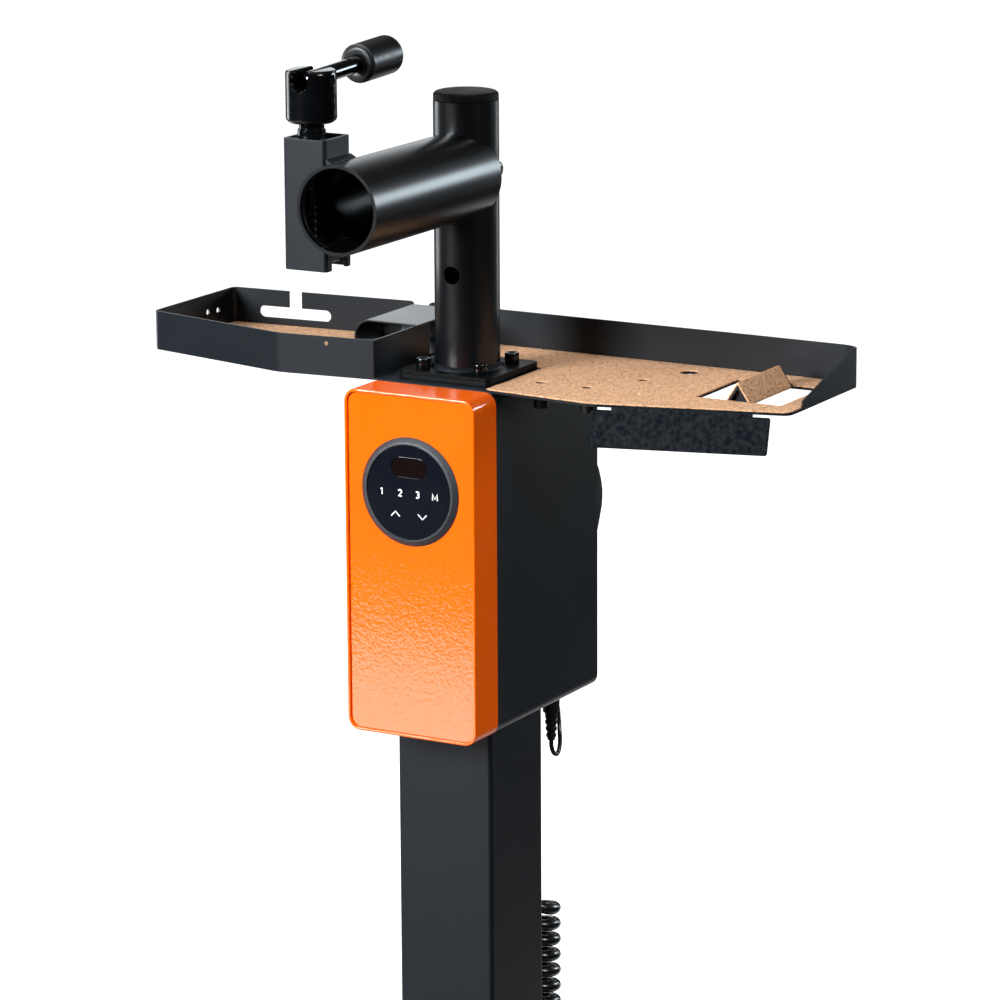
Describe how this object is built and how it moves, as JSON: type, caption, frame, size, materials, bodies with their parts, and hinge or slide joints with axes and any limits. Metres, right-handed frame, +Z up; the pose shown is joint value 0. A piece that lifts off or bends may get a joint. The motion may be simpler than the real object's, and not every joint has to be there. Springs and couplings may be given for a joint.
{
  "type": "bike repair stand",
  "caption": "Powered bicycle repair stand: telescoping square column on a flat base, parts tray, post and a round arm socket with a screw-down wedge grip.",
  "frame": {"origin": "On the base plate's underside, on the column's axis.", "axes": "+Z up along the column, -Y the side of the orange control cover and of the arm socket's mouth, +X towards the long end of the tray."},
  "size_m": [0.58, 0.64, 1.1388],
  "materials": {
    "black_coat": "satin black powder coat, fine texture",
    "orange_coat": "glossy orange enamel with orange peel",
    "black_plastic": "moulded black plastic, fine grain",
    "display": "dark tinted window",
    "cork": "pressed cork granules, matte",
    "black_steel": "black oxide, polished or knurled",
    "zinc_steel": "zinc plated",
    "brass": "machined",
    "cord_rubber": "smooth black sheath"
  },
  "bodies": {
    "root": {"base_plate": "black_coat", "column_foot": "black_coat", "foot_bolt_1": "zinc_steel", "foot_bolt_2": "zinc_steel", "foot_bolt_3": "zinc_steel", "foot_bolt_4": "zinc_steel", "power_box": "black_plastic", "inner_tube": "black_coat", "lift_nut": "brass", "spiral_cord": "cord_rubber"},
    "middle": {"middle_tube": "black_coat", "middle_mouth_ring": "black_plastic", "screw_sleeve": "zinc_steel"},
    "head": {"outer_tube": "black_coat", "column_top_plate": "black_coat", "housing_shell": "black_coat", "rear_panel": "black_coat", "tray": "black_coat", "tray_bracket": "black_coat", "magnet_bar": "black_coat", "tray_clamp_plate": "black_coat", "post_flange": "black_coat", "post": "black_coat", "clamp_tube": "black_coat", "wedge_housing": "black_coat", "saddle_gusset": "black_coat", "cover_frame": "orange_coat", "cover_panel": "orange_coat", "outer_mouth_ring": "black_plastic", "control_bezel": "black_plastic", "control_face": "black_plastic", "control_box": "black_plastic", "post_cap": "black_plastic", "tool_sleeve_1": "black_plastic", "tool_sleeve_2": "black_plastic", "lead_plug": "black_plastic", "lead_rear_gland": "black_plastic", "cord_head_gland": "black_plastic", "display_window": "display", "cork_left": "cork", "cork_right": "cork", "cork_ridge": "cork", "cross_bolt": "black_steel", "flange_screw_1": "black_steel", "flange_screw_2": "black_steel", "flange_screw_3": "black_steel", "flange_screw_4": "black_steel", "lift_gearbox": "zinc_steel", "lift_motor": "zinc_steel", "bracket_screw_1": "zinc_steel", "bracket_screw_2": "zinc_steel", "lead_cable": "cord_rubber"},
    "screw": {"lift_screw": "zinc_steel"},
    "spindle": {"clamp_spindle": "black_steel"},
    "upper_grip": {"upper_wedge": "zinc_steel"},
    "lower_grip": {"lower_wedge": "zinc_steel"},
    "handle": {"handle_pin": "zinc_steel", "handle_rod": "black_steel", "handle_knob": "black_steel"}
  },
  "joints": [
    {"name": "lift", "type": "slide", "parent": "root", "child": "head", "axis": [0, 0, 1], "range_m": [-0.28, 0.36], "deforming": ["spiral_cord"]},
    {"name": "middle_lift", "type": "slide", "parent": "root", "child": "middle", "axis": [0, 0, 1], "range_m": [-0.14, 0.18]},
    {"name": "screw_turn", "type": "hinge", "parent": "head", "child": "screw", "pos_m": [0, 0, 0.87], "axis": [0, 0, 1], "range_deg": [-5040, 6480]},
    {"name": "spindle_turn", "type": "hinge", "parent": "head", "child": "spindle", "pos_m": [-0.031, -0.165, 1.083], "axis": [0, 0, 1], "range_deg": [-720, 720]},
    {"name": "upper_grip_slide", "type": "slide", "parent": "head", "child": "upper_grip", "axis": [0, 0, 1], "range_m": [-0.004, 0.004]},
    {"name": "lower_grip_slide", "type": "slide", "parent": "head", "child": "lower_grip", "axis": [0, 0, 1], "range_m": [-0.004, 0.004]},
    {"name": "handle_fold", "type": "hinge", "parent": "spindle", "child": "handle", "pos_m": [-0.031, -0.165, 1.12], "axis": [1, 0, 0], "range_deg": [-5, 180]}
  ],
  "couplings": [
    {"joint": "middle_lift", "follows": "lift", "ratio": 0.5},
    {"joint": "screw_turn", "follows": "lift", "rad_per_m": 314},
    {"joint": "upper_grip_slide", "follows": "spindle_turn", "m_per_rad": 0.000318},
    {"joint": "lower_grip_slide", "follows": "spindle_turn", "m_per_rad": -0.000318}
  ]
}
